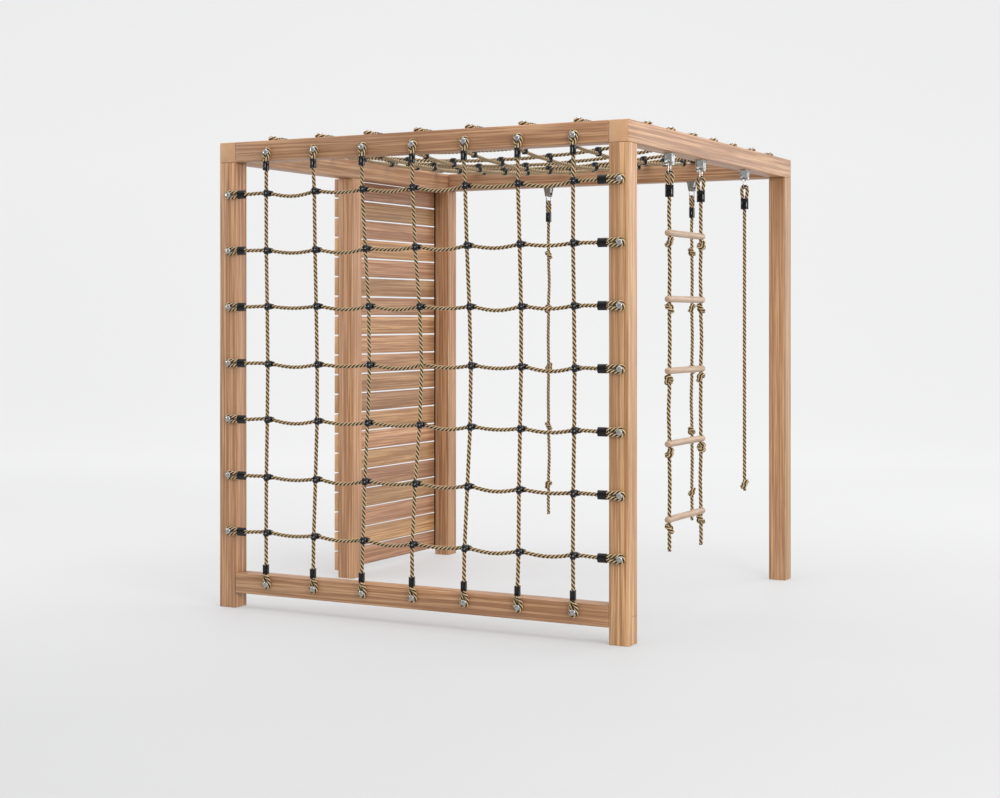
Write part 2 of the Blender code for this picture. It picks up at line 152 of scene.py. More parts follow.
def at(x, y, z):
    """A point of the row frame, from its place off the middle of the timber frame."""
    return np.array([x + CENTRE_X, y + CENTRE_Y, z])


def about(axis, degrees):
    """A turn about an axis."""
    return Matrix.Rotation(math.radians(degrees), 4, axis)


def arc(first, last, count, radius=1.0):
    """Pairs of places across and up on a circle, between two angles in degrees."""
    angles = np.radians(np.linspace(first, last, count))
    return np.stack([radius * np.cos(angles), radius * np.sin(angles)], axis=1)


# ---------------- materials


def linear(red, green, blue):
    """A linear colour from display values of 0 to 255."""
    out = []
    for value in (red / 255, green / 255, blue / 255):
        out.append(value / 12.92 if value <= 0.04045 else ((value + 0.055) / 1.055) ** 2.4)
    return tuple(out)


def rgba(colour):
    """A colour's four parts, from a grey level or from its first three."""
    parts = (colour,) * 3 if isinstance(colour, (int, float)) else colour
    return (*parts, 1.0)


class Shading:
    """A short way to write the nodes of a material or a world."""

    def __init__(self, name, kind="materials", shader="Principled BSDF"):
        self.owner = getattr(bpy.data, kind).new(name)
        self.owner.use_nodes = True
        self.tree = self.owner.node_tree
        self.shader = self.tree.nodes[shader]

    def node(self, kind, inputs=None, **settings):
        made = self.tree.nodes.new(kind)
        for key, value in settings.items():
            setattr(made, key, value)
        for key, value in (inputs or {}).items():
            self.feed(made.inputs[key], value)
        return made

    def feed(self, socket, value):
        if isinstance(value, bpy.types.NodeSocket):
            self.tree.links.new(value, socket)
        else:
            socket.default_value = rgba(value) if socket.type == "RGBA" else value

    def math(self, operation, first, second=0.0):
        return self.node("ShaderNodeMath", {0: first, 1: second}, operation=operation).outputs[0]

    def sum(self, first, second):
        return self.math("ADD", first, second)

    def times(self, first, second):
        return self.math("MULTIPLY", first, second)

    def split(self, vector):
        return self.node("ShaderNodeSeparateXYZ", {"Vector": vector}).outputs

    def spread(self, value, low, high, to_low, to_high):
        """A value that runs from to_low to to_high while the given one runs from low to high."""
        inputs = {"Value": value, "From Min": low, "From Max": high, "To Min": to_low}
        return self.node("ShaderNodeMapRange", {**inputs, "To Max": to_high}).outputs["Result"]

    def mix(self, factor, first, second, blend="MIX"):
        inputs = {"Factor": factor, 6: first, 7: second}
        return self.node("ShaderNodeMix", inputs, data_type="RGBA", blend_type=blend).outputs[2]

    def multiply(self, factor, first, second):
        return self.mix(factor, first, second, "MULTIPLY")

    def ramp(self, factor, *stops):
        made = self.node("ShaderNodeValToRGB", {"Fac": factor})
        ramp = made.color_ramp
        while len(ramp.elements) < len(stops):
            ramp.elements.new(0.5)
        for element, (place, colour) in zip(ramp.elements, stops):
            element.position = place
            element.color = rgba(colour)
        return made.outputs["Color"]

    def noise(self, vector, scale, detail=3.0, roughness=0.5):
        inputs = {"Vector": vector, "Scale": scale, "Detail": detail, "Roughness": roughness}
        return self.node("ShaderNodeTexNoise", inputs).outputs["Fac"]

    def stretched(self, vector, scale, move=(0, 0, 0)):
        inputs = {"Vector": vector, "Location": move, "Scale": scale}
        return self.node("ShaderNodeMapping", inputs).outputs["Vector"]

    def grain(self, vector, scale, detail=3.0, roughness=0.5, move=(0, 0, 0)):
        """Noise with its own scale along each axis."""
        return self.noise(self.stretched(vector, scale, move), 1.0, detail, roughness)

    def surface(self, colour, roughness, bump=None, strength=0.3, distance=0.001, **sockets):
        sockets = {"Base_Color": colour, "Roughness": roughness, **sockets}
        if bump is not None:
            inputs = {"Height": bump, "Strength": strength, "Distance": distance}
            sockets["Normal"] = self.node("ShaderNodeBump", inputs).outputs["Normal"]
        for key, value in sockets.items():
            self.feed(self.shader.inputs[key.replace("_", " ")], value)
        return self.owner


def timber_material(name, seed, tone, pith, colours):
    """Oiled sawn timber with its growth rings cut along the piece's own X. pith is how far off the
    piece the tree's middle lies, in Y and Z, and tone lightens or darkens the whole board."""
    dark, tan, pale = colours
    s = Shading(name)
    source = s.node("ShaderNodeTexCoord")
    place = source.outputs["Object"]
    sawn_end = s.math("ABSOLUTE", s.split(source.outputs["Normal"])["X"])
    length_face = s.math("SUBTRACT", 1.0, s.math("GREATER_THAN", sawn_end, 0.8))
    moved = s.stretched(place, (1, 1, 1), (seed * 3.71, seed * 1.93, seed * 0.77))
    bend = s.math("SUBTRACT", s.grain(moved, (0.8, 3.6, 3.6), 2.0), 0.5)
    wander = s.math("SUBTRACT", s.grain(moved, (2.3, 20.0, 20.0)), 0.5)
    shift = s.times(bend, RING_BEND)
    parts = s.split(place)
    off_y, off_z = (s.sum(s.sum(parts[axis], off), shift) for axis, off in zip("YZ", pith))
    square = s.sum(s.times(off_y, off_y), s.times(off_z, off_z))
    radius = s.sum(s.math("SQRT", square), s.times(wander, RING_WANDER))
    phase = s.math("FRACT", s.times(radius, RINGS_PER_METRE))
    rings = s.ramp(phase, (0.0, 0.05), (0.55, 0.22), (0.90, 1.0), (1.0, 0.05))
    hue = s.grain(moved, (0.7, 26.0, 26.0), 3.0, 0.55)
    streak = s.grain(moved, (1.6, 125.0, 125.0), 4.0, 0.62, (4.1, 2.3, 0.9))
    fibre = s.grain(moved, (6.0, 380.0, 380.0), 3.0, 0.6)
    blotch = s.grain(moved, (0.9, 7.0, 7.0), 2.0, move=(7.7, 1.1, 3.3))
    base = s.mix(s.ramp(hue, (0.25, 0), (0.75, 1)), tan, pale)
    veil = s.ramp(streak, (0.44, 1), (0.60, 0))
    mask = s.times(veil, s.sum(0.40, s.times(blotch, 0.5)))
    base = s.mix(s.times(mask, length_face), base, dark)
    base = s.mix(s.times(rings, 0.27), base, dark)
    base = s.multiply(0.9, base, s.ramp(blotch, (0.3, (0.86, 0.83, 0.80)), (0.7, (1.10, 1.08, 1.05))))
    pores = s.ramp(fibre, (0.34, (0.64, 0.59, 0.54)), (0.49, 1))
    base = s.multiply(s.times(0.60, length_face), base, pores)
    base = s.multiply(1.0, base, tone)
    height = s.sum(s.times(fibre, 0.7), s.times(rings, 0.3))
    gloss = s.sum(0.36, s.times(fibre, 0.22))
    return s.surface(base, gloss, height, 0.22, 0.0006, Specular_IOR_Level=0.5)


def birch_material(name, seed):
    """Pale turned birch with its grain along the piece's own Y."""
    s = Shading(name)
    place = s.node("ShaderNodeTexCoord").outputs["Object"]
    moved = s.stretched(place, (1, 1, 1), (seed * 1.7, seed * 2.3, 0))
    streak = s.grain(moved, (110.0, 5.0, 110.0), 3.0, 0.6)
    fibre = s.grain(moved, (700.0, 16.0, 700.0), 2.0)
    dark, middle, pale = linear(150, 124, 101), linear(175, 149, 126), linear(187, 162, 140)
    base = s.ramp(streak, (0.30, dark), (0.52, middle), (0.75, pale))
    base = s.multiply(0.6, base, s.ramp(fibre, (0.3, (0.86, 0.84, 0.82)), (0.5, 1)))
    return s.surface(base, s.sum(0.36, s.times(fibre, 0.2)), fibre, 0.2, 0.0004)


def rope_material():
    """Golden three-strand rope. The strand attribute is 0 in the grooves between strands and 1 on a
    strand's crown, and the UV runs round a strand and along the rope. The colour ramp on it paints
    near-black shade into the grooves and a pale highlight on the crowns."""
    s = Shading("rope")
    crown = s.node("ShaderNodeAttribute", attribute_name="strand").outputs["Fac"]
    place = s.node("ShaderNodeUVMap", uv_map="Rope").outputs["UV"]
    waves = {"Vector": s.stretched(place, (1.0, 330.0, 1)), "Scale": 0.62, "Distortion": 1.2}
    yarn = s.node("ShaderNodeTexWave", waves, bands_direction="DIAGONAL").outputs["Fac"]
    hair = s.grain(place, (16.0, 900.0, 1), 3.0, 0.65)
    patch = s.noise(s.node("ShaderNodeTexCoord").outputs["Object"], 17.0, 2.0)
    # Painted shade and highlight: the middle stops hold the rope's own khaki, the near-black first
    # stop is painted shade in the grooves and the pale last stop a painted highlight on the crowns.
    painted_groove_shade, low = linear(16, 10, 6), linear(36, 25, 14)
    high, top = linear(142, 117, 83), linear(216, 194, 159)
    body = s.ramp(crown, (0.0, painted_groove_shade), (0.34, low), (0.64, high), (1.0, top))
    body = s.multiply(0.75, body, s.ramp(yarn, (0.1, (0.70, 0.68, 0.64)), (0.6, 1)))
    fuzz = s.ramp(hair, (0.32, (0.66, 0.62, 0.56)), (0.62, (1.10, 1.10, 1.08)))
    body = s.multiply(0.7, body, fuzz)
    worn = s.ramp(patch, (0.35, (0.90, 0.88, 0.84)), (0.65, (1.06, 1.05, 1.04)))
    body = s.multiply(0.8, body, worn)
    height = s.sum(s.times(yarn, 0.6), s.times(hair, 0.5))
    return s.surface(body, 0.62, height, 0.55, 0.0008, Specular_IOR_Level=0.2)


def plastic_material():
    """Glossy black moulded plastic, faintly uneven."""
    s = Shading("black_plastic")
    place = s.node("ShaderNodeTexCoord").outputs["Object"]
    film = s.noise(place, 60.0)
    grain = s.noise(place, 900.0, 2.0)
    tint = s.ramp(film, (0.3, linear(4, 4, 5)), (0.7, linear(10, 9, 10)))
    gloss = s.sum(0.07, s.times(film, 0.08))
    return s.surface(tint, gloss, grain, 0.04, 0.0002, Specular_IOR_Level=0.36)


def steel_material(name, shade, rough):
    """Galvanised steel with a soft spangle. shade darkens or lightens it."""
    s = Shading(name)
    place = s.node("ShaderNodeTexCoord").outputs["Object"]
    spangle = s.node("ShaderNodeTexVoronoi", {"Vector": place, "Scale": 210.0}).outputs["Color"]
    level = s.node("ShaderNodeRGBToBW", {"Color": spangle}).outputs["Val"]
    haze = s.noise(place, 120.0)
    tint = s.ramp(level, (0.2, linear(189, 191, 190)), (0.8, linear(205, 206, 204)))
    tint = s.mix(s.times(haze, 0.35), tint, linear(158, 162, 165))
    tint = s.multiply(1.0, tint, shade)
    gloss = s.sum(rough, s.times(haze, 0.10))
    return s.surface(tint, gloss, haze, 0.05, 0.0002, Metallic=1.0)


def stage_material():
    """A pale floor and backdrop that glow, as if lit from below and behind."""
    s = Shading("studio_floor")
    place = s.node("ShaderNodeTexCoord").outputs["Object"]
    parts = s.split(place)
    tint = s.mix(s.times(s.noise(place, 0.4, 2.0), 0.3), (0.30, 0.30, 0.302), 0.28)
    glow = s.spread(parts["Y"], -2.5, 7.5, 0.28, 0.55)
    glow = s.sum(glow, s.spread(parts["Z"], 0.0, 3.0, 0.0, 0.05))
    glow = s.sum(glow, s.spread(parts["Y"], -11.0, -30.0, 0.0, 0.27))
    return s.surface(tint, 0.6, Specular_IOR_Level=0.1, Emission_Color=1, Emission_Strength=glow)


# ---------------- mesh helpers


def in_scene(name, data):
    """A new object of the data, in the scene."""
    made = bpy.data.objects.new(name, data)
    bpy.context.scene.collection.objects.link(made)
    return made


def add_piece(name, mesh, finish, body, location=(0, 0, 0), turn=(0, 0, 0)):
    """A shown piece on a CAD body."""
    made = in_scene(name, mesh)
    made.location = location
    made.rotation_euler = turn
    mesh.materials.clear()
    mesh.materials.append(finish)
    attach(made, body)
    return made


def add_joined(name, parts, finish, body, degrees=35):
    """A shown piece of several shapes, with sharp edges where faces meet at a wider angle."""
    return add_piece(name, with_sharp_edges(merged(name, parts), degrees), finish, body)


def raw_mesh(name, points, faces):
    mesh = bpy.data.meshes.new(name)
    mesh.from_pydata(np.asarray(points).tolist(), [], faces)
    mesh.polygons.foreach_set("use_smooth", [True] * len(mesh.polygons))
    mesh.update()
    return mesh


def merged(name, parts):
    """One mesh of several (points, faces) shapes."""
    points, faces, start = [], [], 0
    for part_points, part_faces in parts:
        points.append(np.asarray(part_points))
        faces += [[index + start for index in face] for face in part_faces]
        start += len(part_points)
    return raw_mesh(name, np.concatenate(points), faces)


def lofted(sections):
    """(points, faces) through rings of the same number of points, closed at both ends."""
    sections = np.asarray(sections)
    count, sides = sections.shape[:2]
    faces = []
    for low in range(0, (count - 1) * sides, sides):
        for side in range(sides):
            after = (side + 1) % sides
            faces.append([low + side, low + after, low + sides + after, low + sides + side])
    faces.append(list(range(sides))[::-1])
    faces.append(list(range((count - 1) * sides, count * sides)))
    return sections.reshape(-1, 3), faces


def turned(profile, sides):
    """(points, faces) of a profile of (radius, height) turned about Z. The first and the last
    radius are above 0 and are closed flat."""
    angles = 2 * math.pi * np.arange(sides) / sides
    circle = np.stack([np.cos(angles), np.sin(angles), np.zeros(sides)], axis=1)
    return lofted([radius * circle + (0, 0, height) for radius, height in profile])


def stacked_rings(rows, power=2.1, sides=32):
    """(points, faces) through level rings between an ellipse and a rectangle. A row holds a ring's
    half width along X, its half depth along Y and its height."""
    angles = 2 * math.pi * np.arange(sides) / sides
    cos, sin = np.cos(angles), np.sin(angles)
    x = np.sign(cos) * np.abs(cos) ** (2 / power)
    y = np.sign(sin) * np.abs(sin) ** (2 / power)
    return lofted([np.stack([a * x, b * y, np.full(sides, z)], axis=1) for a, b, z in rows])


def placed(shape, matrix):
    """A (points, faces) shape moved by a 4x4 matrix."""
    points, faces = shape
    matrix = np.array(matrix)
    return points @ matrix[:3, :3].T + matrix[:3, 3], faces


def basis(origin, x_axis, z_axis):
    """A matrix with the given origin, Z axis and an X axis as near as it can be."""
    z_axis = Vector(z_axis).normalized()
    x_axis = Vector(x_axis)
    x_axis = (x_axis - x_axis.dot(z_axis) * z_axis).normalized()
    y_axis = z_axis.cross(x_axis)
    made = Matrix((x_axis, y_axis, z_axis)).transposed().to_4x4()
    made.translation = Vector(origin)
    return made


def with_sharp_edges(mesh, degrees):
    mesh.set_sharp_from_angle(angle=math.radians(degrees))
    return mesh


# ---------------- rope


def smooth_line(points, step=0.002):
    """A smooth curve through the points, as even steps."""
    points = np.asarray(points, float)
    first, last = 2 * points[0] - points[1], 2 * points[-1] - points[-2]
    padded = np.vstack([first, points, last])
    pieces = []
    for index in range(1, len(padded) - 2):
        before, start, end, after = padded[index - 1 : index + 3]
        pairs = ((before, start), (start, end), (end, after))
        a, b, c = (max(1e-6, np.linalg.norm(two - one)) ** 0.5 for one, two in pairs)
        leave = (end - start) - (end - before) * b / (a + b)
        leave = (start - before) * (b / a) + leave
        arrive = (start - end) + (after - start) * b / (b + c)
        arrive = -((end - after) * (b / c)) + arrive
        count = max(2, int(np.linalg.norm(end - start) / step))
        t = np.linspace(0, 1, count, endpoint=False)[:, None]
        pieces.append(
            (2 * t**3 - 3 * t**2 + 1) * start
            + (t**3 - 2 * t**2 + t) * leave
            + (-2 * t**3 + 3 * t**2) * end
            + (t**3 - t**2) * arrive
        )
    pieces.append(points[-1:])
    return np.vstack(pieces)


def distances(line):
    """How far along the line each of its points lies."""
    gaps = np.linalg.norm(np.diff(line, axis=0), axis=1)
    return np.concatenate([[0], np.cumsum(gaps)])


def even_line(line, step):
    """The same line with points a step apart."""
    along = distances(line)
    wanted = np.linspace(0, along[-1], max(4, int(round(along[-1] / step)) + 1))
    return np.stack([np.interp(wanted, along, line[:, axis]) for axis in range(3)], axis=1)


def softened(line, rounds):
    """The line with its corners eased and its ends kept."""
    line = line.copy()
    for _ in range(rounds):
        line[1:-1] = (line[:-2] + 2 * line[1:-1] + line[2:]) / 4
    return line


def frames_along(line):
    """Two normals at each point of a line, carried without twist."""
    tangents = np.gradient(line, axis=0)
    tangents /= np.linalg.norm(tangents, axis=1, keepdims=True)
    guide = np.array([1.0, 0, 0]) if abs(tangents[0][0]) < 0.8 else np.array([0, 1.0, 0])
    normal = guide - guide.dot(tangents[0]) * tangents[0]
    normals = []
    for tangent in tangents:
        normal = normal - normal.dot(tangent) * tangent
        normal = normal / np.linalg.norm(normal)
        normals.append(normal)
    return np.array(normals), np.cross(tangents, normals)


def strand_outline():
    """The outline of three touching strands: each point's angle, distance out and crown value."""
    strand = ROPE_RADIUS / RADIUS_IN_STRANDS
    offset = ROPE_RADIUS - strand
    # The crown values set how far the painted shade of the grooves and the painted highlight of the
    # crowns reach round each strand.
    crowns = {60: 0.0, 44: 0.30, 24: 0.78, 0: 1.0}
    rows = []
    for lobe in range(3):
        for degrees in (-60, -44, -24, 0, 24, 44):
            angle = math.radians(degrees)
            inside = max(0.0, strand**2 - (offset * math.sin(angle)) ** 2)
            out = max(offset * math.cos(angle) + math.sqrt(inside), 0.50 * ROPE_RADIUS)
            rows.append((math.radians(120 * lobe) + angle, out, crowns[abs(degrees)]))
    return np.array(rows)


def rope_mesh(name, line, start_turn):
    """A laid rope along a line: three strands that wind to the left, with closed, slightly drawn-in
    ends. It carries the strand attribute and the Rope UV."""
    line = even_line(line, ROPE_RING)
    outline = strand_outline()
    sides = len(outline)
    normals, binormals = frames_along(line)
    along = distances(line)
    angles = outline[:, 0] + (start_turn - 2 * math.pi * along / ROPE_LAY)[:, None]
    size = np.ones((len(line), 1))
    size[0] = size[-1] = 0.86
    out = outline[:, 1] * size
    points, faces = lofted(
        line[:, None]
        + (np.cos(angles) * out)[..., None] * normals[:, None]
        + (np.sin(angles) * out)[..., None] * binormals[:, None]
    )
    mesh = raw_mesh(name, points, faces)
    crown = mesh.attributes.new("strand", "FLOAT", "POINT")
    values = np.tile(outline[:, 2], len(line))
    values[:sides] *= 0.5
    values[-sides:] *= 0.5
    crown.data.foreach_set("value", values.astype(np.float32))
    layer = mesh.uv_layers.new(name="Rope")
    loops = np.zeros(len(mesh.loops), np.int32)
    mesh.loops.foreach_get("vertex_index", loops)
    ring_of, side_of = loops // sides, loops % sides
    quads = side_of[: -2 * sides].reshape(-1, 4)
    seam = (quads == 0) & (quads == sides - 1).any(axis=1, keepdims=True)
    quads += sides * seam
    uv = np.stack([side_of / sides * 3, along[ring_of]], axis=1)
    layer.data.foreach_set("uv", uv.astype(np.float32).reshape(-1))
    return mesh


def add_rope(name, line, start_turn, body):
    return add_piece(name, rope_mesh(name, line, start_turn), ROPE, body)


def tight_knot(radius):
    """The line of an overhand knot in a rope along Z, pulled tight: an open trefoil that shortens
    step by step while its turns push each other apart, down to how far the rope squashes."""
    spacing = 0.4
    t = np.linspace(-2.08, 2.08, 60)
    curve = np.stack([t**3 - 3 * t, t**4 - 4 * t**2 + 1.6, (t**5 - 10 * t) * 0.35], axis=1)
    curve = radius * (curve if curve[0, 2] < curve[-1, 2] else curve[::-1])
    end = np.array([[0, 0, 9 * radius]])
    line = even_line(np.vstack([-end, curve, end]), spacing * radius)
    near = 2 * radius * KNOT_SQUASH
    for step in range(900):
        line[1:-1] += 0.30 * ((line[:-2] + line[2:]) / 2 - line[1:-1])
        index = np.arange(len(line))
        apart_along = np.abs(index[:, None] - index[None]) > math.pi / spacing
        for _ in range(3):
            apart = line[:, None] - line[None]
            distance = np.linalg.norm(apart, axis=2) + 1e-9
            close = apart_along & (distance < near)
            push = np.where(close, (near - distance) / distance, 0.0)
            move = 0.25 * (push[..., None] * apart).sum(axis=1)
            size = np.linalg.norm(move, axis=1, keepdims=True) + 1e-9
            line[1:-1] += (move * np.minimum(1.0, 0.2 * radius / size))[1:-1]
        for way in (line, line[::-1]):
            on_axis = np.cumsum(np.abs(way[:, 2]) < 2.6 * radius) == 0
            way[on_axis, :2] = 0
        if step % 10 == 9:
            line = even_line(line, spacing * radius)
    return line[np.abs(line[:, 2]) < 3 * radius]


# ---------------- fittings


def ferrule_shape(length, half_width, half_depth):
    """A moulded sleeve along Z from 0 to length, wide along X, with rolled rims and a shallow
    recess at each end."""
    rim = [(0.55, 0.0022), (0.80, 0.0020), (0.88, 0.0006), (0.93, 0.0), (0.975, 0.0005)]
    rim += [(1.0, 0.0018), (1.0, 0.0040), (0.985, 0.0047)]
    steps = rim + [(0.985, length / 2)] + [(scale, length - z) for scale, z in rim[::-1]]
    return stacked_rings([(half_width * scale, half_depth * scale, z) for scale, z in steps])


def bolt_shape():
    """A domed bolt along Z from the timber's face: a shank inside the eye and a round head."""
    profile = [(0.0054, -0.003), (0.0054, 0.0140), (0.0118, 0.0148), (0.0127, 0.0160)]
    profile += [(0.0129, 0.0180), (0.0125, 0.0196), (0.0114, 0.0211), (0.0096, 0.0222)]
    profile += [(0.0072, 0.0230), (0.0044, 0.0235), (0.0016, 0.0237)]
    return turned(profile, 32)


def half_shell(half_long, half_short, foot):
    """A domed half of a cross connector, long along X, over a rope at Z 0."""
    steps = [(1.00, 1.00, foot), (1.00, 1.00, 0.0016), (0.985, 0.985, 0.0048), (0.93, 0.935, 0.0080)]
    steps += [(0.82, 0.83, 0.0105), (0.64, 0.66, 0.0121), (0.40, 0.42, 0.0129), (0.02, 0.02, 0.0132)]
    return stacked_rings([(half_long * a, half_short * b, z) for a, b, z in steps])


def collar_shape(reach):
    """A short collar round a rope along X, where it enters a connector."""
    length, radius = 0.0090, 0.0111
    profile = [(0.90, length), (1.0, length), (1.0, 0.0028), (0.97, 0.0012), (0.91, 0.0003)]
    profile += [(0.84, 0.0), (0.80, 0.0030)]
    profile = [(radius * scale, reach - back) for scale, back in profile]
    return placed(turned(profile, 20), about("Y", 90))


def connector_half(half_long, reach):
    """Half of a cross connector over a rope along X: a dome, and a collar at both ends."""
    collar = collar_shape(reach)
    return [half_shell(half_long, 0.0142, -0.0094), collar, placed(collar, about("Z", 180))]


def connector_shapes(level_outer):
    """A cross connector at the origin, with its outer rope one crossing step over its inner one
    along Z. The half round the net's level ropes, which run along X, is the longer one."""
    quarter = about("Z", 90)
    flip = Matrix.Translation((0, 0, -CROSSING_STEP)) @ about("X", 180)
    short_half = connector_half(0.0150, 0.0152)
    if level_outer:
        return connector_half(0.0152, 0.0158) + [placed(s, flip @ quarter) for s in short_half]
    long_half = connector_half(0.0168, 0.0200)
    return [placed(s, quarter) for s in short_half] + [placed(s, flip) for s in long_half]


def screw_shapes():
    """The two domed screws on the outer half of a connector."""
    head = turned([(0.0029, 0.0096), (0.0029, 0.0128), (0.0023, 0.0137), (0.0010, 0.0141)], 14)
    return [placed(head, Matrix.Translation((x, 0, 0))) for x in (-0.0066, 0.0066)]


def wire_loop(points, radius, sides=12):
    """(points, faces) of a closed round wire through points in a plane across X."""
    line = np.asarray(points)
    tangents = np.roll(line, -1, axis=0) - np.roll(line, 1, axis=0)
    tangents /= np.linalg.norm(tangents, axis=1, keepdims=True)
    side = np.array([1.0, 0, 0])
    up = np.cross(tangents, side)
    angles = 2 * math.pi * np.arange(sides) / sides
    rings = (
        line[:, None, :]
        + radius * np.cos(angles)[None, :, None] * side
        + radius * np.sin(angles)[None, :, None] * up[:, None, :]
    )
    faces = []
    for ring in range(len(line)):
        low, high = ring * sides, (ring + 1) % len(line) * sides
        for index in range(sides):
            after = (index + 1) % sides
            faces.append([low + index, high + index, high + after, low + after])
    return rings.reshape(-1, 3), faces


def link_line():
    """The oval link's middle line in the YZ plane, about the hanger's bolt."""
    points = []
    for middle, first in ((LINK_TOP - LINK_HALF_WIDTH, 0), (LINK_BOTTOM + LINK_HALF_WIDTH, 180)):
        points += [(0, y, middle + z) for y, z in arc(first, first + 180, 15, LINK_HALF_WIDTH)]
    return points


def plate_shape(outline, low, high):
    """(points, faces) of a flat plate: an outline in YZ between two X."""
    outline = np.asarray(outline)
    middle = outline.mean(axis=0)
    rings = []
    for x, scale in ((low, 0.94), (low + 0.0006, 1.0), (high - 0.0006, 1.0), (high, 0.94)):
        ring = middle + (outline - middle) * scale
        rings.append(np.stack([np.full(len(outline), x), ring[:, 0], ring[:, 1]], axis=1))
    return lofted(rings)


def cheek_outline():
    """A tapered cheek of a hanger, with round lower corners."""
    half_top, half_low = 0.0215, 0.0135
    top, low, corner = 0.0385, -0.0100, 0.0060
    points = [(-half_top, top)]
    for centre, first in ((corner - half_low, 190), (half_low - corner, 270)):
        points += [(centre + y, low + corner + z) for y, z in arc(first, first + 80, 5, corner)]
    return points + [(half_top, top)]


def drilled(name, shape, holes):
    """The (points, faces) of a shape after holes along X are cut. holes holds (y, z, radius)."""
    drills = []
    for y, z, radius in holes:
        drill = turned([(radius, -0.03), (radius, 0.03)], 20)
        drills.append(placed(drill, Matrix.Translation((0, y, z)) @ about("Y", 90)))
    mesh = cut_mesh(name, shape, drills)
    points = [tuple(vert.co) for vert in mesh.vertices]
    faces = [list(face.vertices) for face in mesh.polygons]
    bpy.data.meshes.remove(mesh)
    return points, faces


def cut_mesh(name, solid, drills):
    """The mesh of a shape less the drills' shapes."""
    base, tool = (in_scene(name, merged(name, shapes)) for shapes in ([solid], drills))
    cut = base.modifiers.new("Holes", "BOOLEAN")
    cut.operation = "DIFFERENCE"
    cut.solver = "EXACT"
    cut.object = tool
    graph = bpy.context.evaluated_depsgraph_get()
    mesh = bpy.data.meshes.new_from_object(base.evaluated_get(graph))
    for helper in (base, tool):
        bpy.data.objects.remove(helper, do_unlink=True)
    return mesh


def hanger_shapes():
    """A folded steel bracket about its bolt, which lies along X: plate, cheeks, block and bolt."""
    top, plate_thickness, square = PIN_DROP - GAP, 0.0032, 9.0
    foot = top - plate_thickness
    plate = [(0.0217, 0.0257, foot), (0.0225, 0.0265, top - 0.0026)]
    plate += [(0.0225, 0.0265, top - 0.0006), (0.0217, 0.0257, top)]
    parts = [stacked_rings(plate, square, 40)]
    for low, high in ((-0.0175, -0.0145), (0.0145, 0.0175)):
        cheek = plate_shape(cheek_outline(), low, high)
        parts.append(drilled("hanger_cheek", cheek, ((0.0, 0.0285, 0.0034), (0.0, 0.0, 0.0041))))
    block = [(0.0125, 0.0125, 0.0112), (0.0143, 0.0140, 0.0122)]
    block += [(0.0143, 0.0162, 0.0250), (0.0143, 0.0182, 0.0372)]
    parts.append(stacked_rings(block, square))
    shank = turned([(0.0038, -0.0180), (0.0040, -0.0176), (0.0040, 0.0176), (0.0038, 0.0180)], 20)
    parts.append(placed(shank, about("Y", 90)))
    clip = turned([(0.0052, 0.0176), (0.0056, 0.0180), (0.0056, 0.0190), (0.0040, 0.0196)], 20)
    parts += [placed(clip, about("Y", degrees)) for degrees in (90, -90)]
    screw = turned([(0.0036, 0.0), (0.0036, 0.0010), (0.0026, 0.0024), (0.0006, 0.0028)], 16)
    for y in (-0.0228, 0.0228):
        for x in (-0.0100, 0.0100):
            parts.append(placed(screw, Matrix.Translation((x, y, foot)) @ about("X", 180)))
    return parts


# ---------------- timber


def board_mesh(name, length, width, height, edge, segments):
    """A sawn piece along X, centred on the origin, with rounded edges."""
    shape = bmesh.new()
    size = Matrix.Diagonal((length, width, height, 1))
    bmesh.ops.create_cube(shape, size=1.0, matrix=size)
    cuts = [e for e in shape.edges if abs(e.verts[0].co.x - e.verts[1].co.x) > length / 2]
    bmesh.ops.subdivide_edges(shape, edges=cuts, cuts=9)
    rims = [e for e in shape.edges if e.is_manifold and e.calc_face_angle() > 0.5]
    bmesh.ops.bevel(
        shape, geom=rims, offset=edge, segments=segments, profile=0.5, affect="EDGES"
    )
    mesh = bpy.data.meshes.new(name)
    shape.to_mesh(mesh)
    shape.free()
    mesh.polygons.foreach_set("use_smooth", [True] * len(mesh.polygons))
    return with_sharp_edges(mesh, 50)


def timber_piece(name, finish, along, replaced, low, high, edge, segments):
    """A board that fills the given box. along is its grain's axis: x, y or z."""
    low, high = Vector(low), Vector(high)
    size = high - low
    turns = {"x": (0, 0, 0), "y": (0, 0, math.pi / 2), "z": (0, -math.pi / 2, 0)}
    lengths = {"x": size, "y": (size.y, size.x, size.z), "z": (size.z, size.y, size.x)}
    mesh = board_mesh(name, *lengths[along], edge, segments)
    made = add_piece(name, mesh, finish, "frame", (low + high) / 2, turns[along])
    if replaced:
        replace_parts(made, replaced)


def wobble(seed):
    """A steady number between -1 and 1 from a seed."""
    return math.sin(seed * 12.9898 + 4.1414)


TIMBER_PINK = (linear(124, 76, 48), linear(187, 142, 107), linear(197, 157, 127))
TIMBER_GOLD = (linear(126, 82, 46), linear(197, 156, 108), linear(205, 168, 127))


def blended(share):
    """Timber colours between the pinkest at 0 and the most golden at 1."""
    pairs = zip(TIMBER_PINK, TIMBER_GOLD)
    return [tuple(p * (1 - share) + g * share for p, g in zip(pink, gold)) for pink, gold in pairs]


def build_timber():
    """The posts, the beams and the sill."""
    pieces = [(name, along) for along, names in TIMBER.items() for name in names]
    for number, (name, along) in enumerate(pieces, 1):
        pith = (0.050 + 0.035 * wobble(number), 0.060 + 0.030 * wobble(number + 40))
        if along != "z":
            pith = (0.020 + 0.015 * wobble(number), 0.170 + 0.030 * wobble(number + 40))
        tone = 1.0 + 0.05 * wobble(number + 7) + LIGHTER.get(name, 0.0)
        colours = blended(GOLDEN.get(name, 0.4))
        finish = timber_material(f"timber_{name}", number, tone, pith, colours)
        seam = Vector((SEAM if along == "x" else 0, 0, 0))
        low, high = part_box(name)
        timber_piece(
            f"{name}_timber", finish, along, name, low + seam, high - seam, 0.0035, 3
        )


